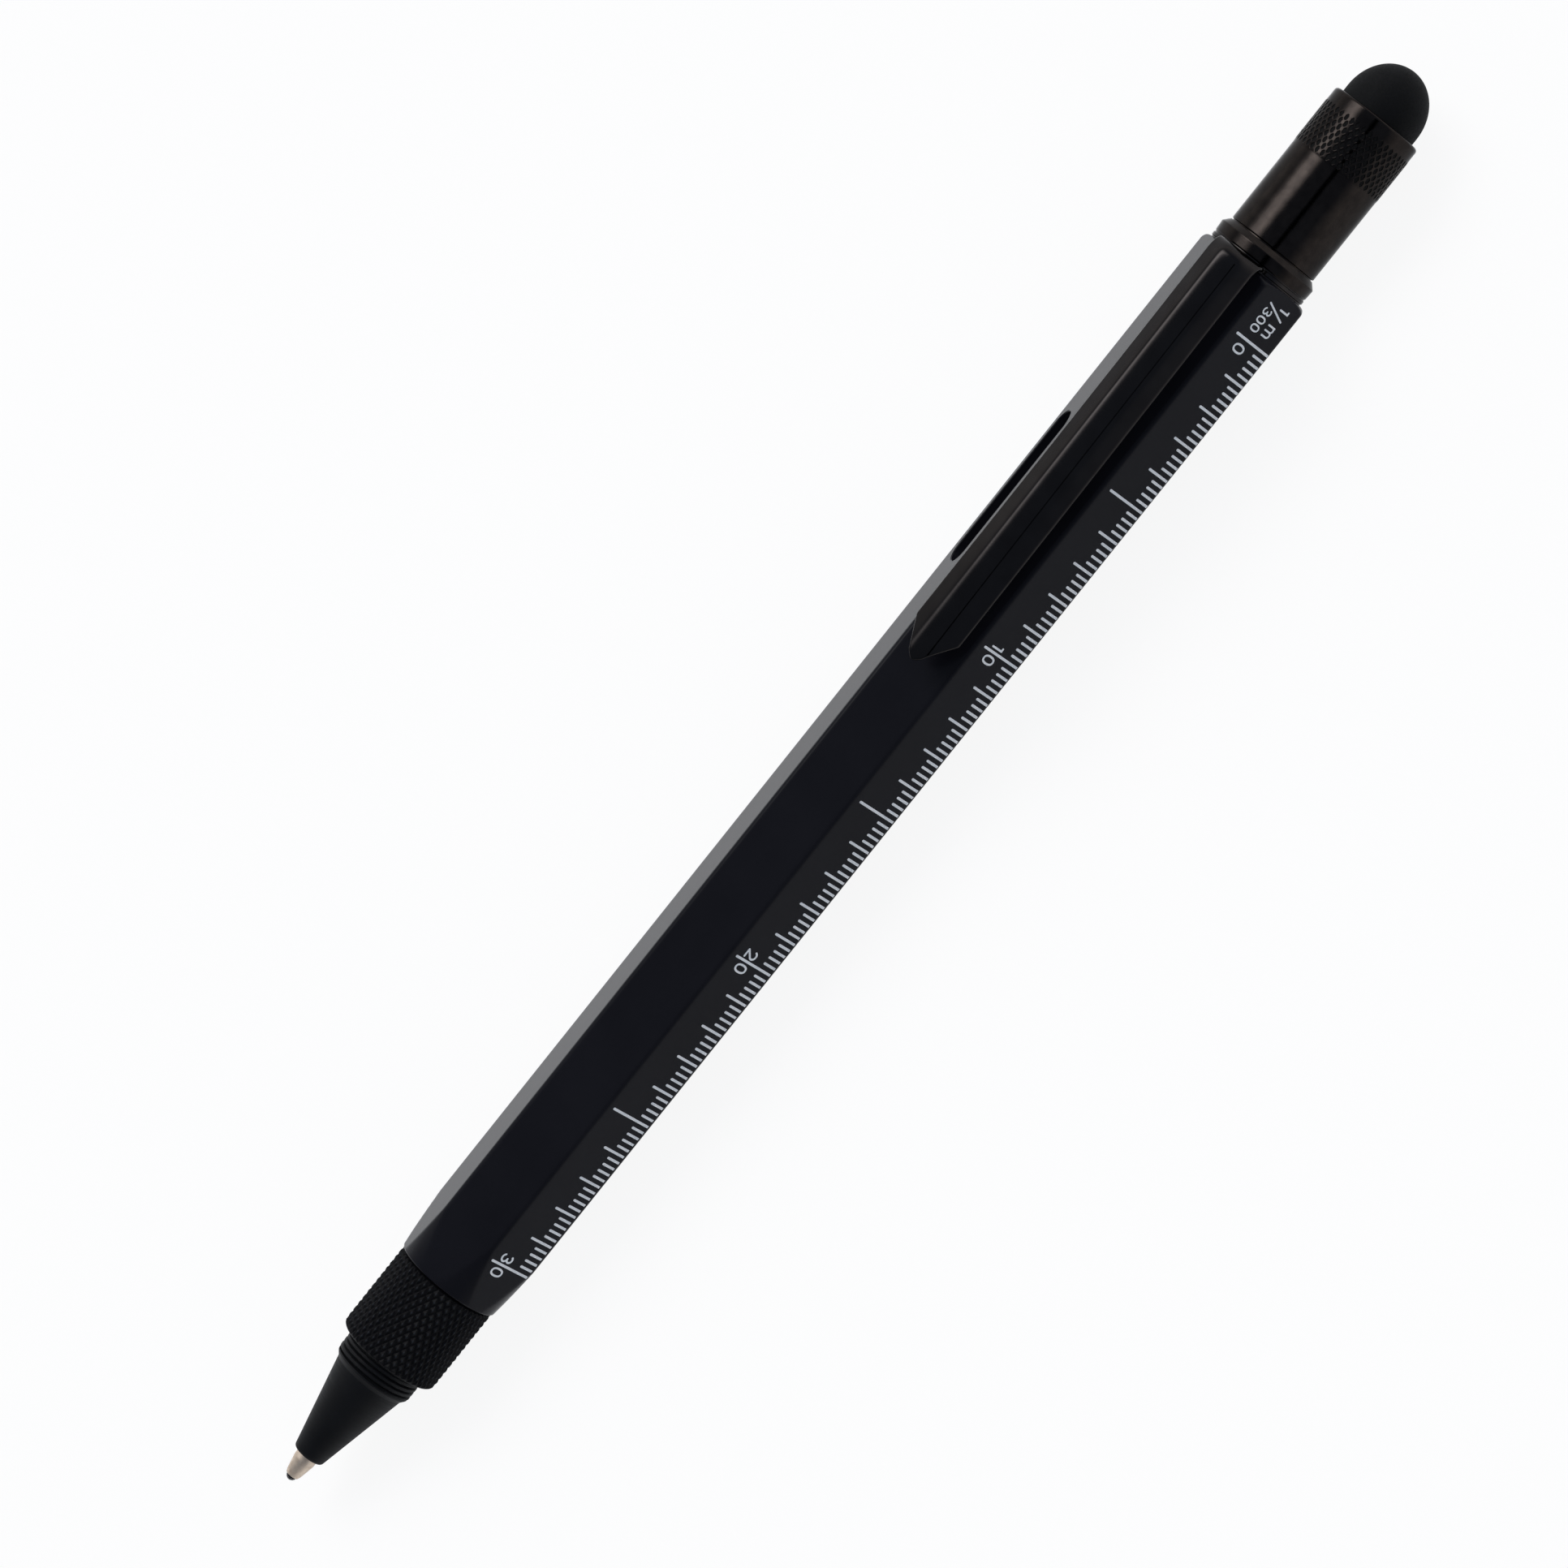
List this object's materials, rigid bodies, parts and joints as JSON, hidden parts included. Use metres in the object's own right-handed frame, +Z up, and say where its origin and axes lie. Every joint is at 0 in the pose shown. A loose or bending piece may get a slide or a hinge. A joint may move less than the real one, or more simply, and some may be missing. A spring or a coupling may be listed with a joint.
{
  "type": "multi tool pen",
  "caption": "Hexagonal twist ballpoint pen with a printed drawing scale, a spirit level window, a spring clip, a rubber stylus cap and a reversible screwdriver bit.",
  "frame": {"origin": "under the middle of the pen's length, on the surface its lowest flat rests on", "axes": "+X along the pen from the writing tip to the stylus dome, +Z up through the clip, +Y towards the level window's side"},
  "size_m": [0.153, 0.011, 0.0138],
  "materials": {
    "black_anodised": "matte black anodised",
    "black_plated": "dark satin plating",
    "brass_inner": "turned, unplated",
    "tool_steel": "satin",
    "nickel_silver": "turned",
    "refill_metal": "satin",
    "ink": "wet",
    "white_plastic": "moulded",
    "black_plastic": "moulded",
    "vial_clear": "clear",
    "level_fluid": "clear liquid",
    "stylus_rubber": "matte"
  },
  "bodies": {
    "barrel": {"barrel": "black_anodised", "front_bush": "brass_inner", "guide_tube": "brass_inner", "level_vial": "vial_clear", "level_liquid": "level_fluid", "vial_plug_front": "black_plastic", "vial_plug_rear": "black_plastic", "rear_bush": "black_plated", "bit_magnet": "tool_steel", "clip_ring": "black_plated"},
    "clip_arm": {"clip_arm": "black_plated"},
    "grip": {"grip": "black_anodised", "cam_tube": "brass_inner", "retaining_ring": "tool_steel"},
    "nose_bush": {"nose_bush": "black_anodised"},
    "nose_cone": {"nose_cone": "black_anodised"},
    "refill": {"refill_tip": "nickel_silver", "refill_ball": "tool_steel", "refill_tube": "refill_metal", "refill_ink": "ink", "refill_holder": "white_plastic", "cam_pin": "tool_steel"},
    "driver_bit": {"driver_bit": "tool_steel"},
    "cap_bush": {"cap_bush": "brass_inner"},
    "cap": {"stylus_sleeve": "black_plated", "stylus_plug": "black_plastic", "stylus_dome": "stylus_rubber"}
  },
  "joints": [
    {"name": "grip_twist", "type": "hinge", "parent": "barrel", "child": "grip", "pos_m": [-0.06266, 0, 0.00484], "axis": [1, 0, 0], "range_deg": [0, 180]},
    {"name": "refill_slide", "type": "slide", "parent": "barrel", "child": "refill", "axis": [1, 0, 0], "range_m": [0, 0.0055]},
    {"name": "nose_slide", "type": "slide", "parent": "grip", "child": "nose_bush", "axis": [-1, 0, 0], "range_m": [0, 0.02]},
    {"name": "nose_turn", "type": "hinge", "parent": "nose_bush", "child": "nose_cone", "pos_m": [-0.07401, 0, 0.00484], "axis": [-1, 0, 0], "continuous": true},
    {"name": "cap_slide", "type": "slide", "parent": "barrel", "child": "cap_bush", "axis": [1, 0, 0], "range_m": [0, 0.015]},
    {"name": "cap_turn", "type": "hinge", "parent": "cap_bush", "child": "cap", "pos_m": [0.05784, 0, 0.00484], "axis": [1, 0, 0], "continuous": true},
    {"name": "bit_slide", "type": "slide", "parent": "barrel", "child": "driver_bit", "axis": [1, 0, 0], "range_m": [0, 0.0018]},
    {"name": "clip_flex", "type": "hinge", "parent": "barrel", "child": "clip_arm", "pos_m": [0.05588, 0, 0.00979], "axis": [0, 1, 0], "range_deg": [0, 4], "stiffness_Nm_per_rad": 1}
  ],
  "couplings": [
    {"joint": "grip_twist", "follows": "refill_slide", "rad_per_m": 571.19}
  ]
}
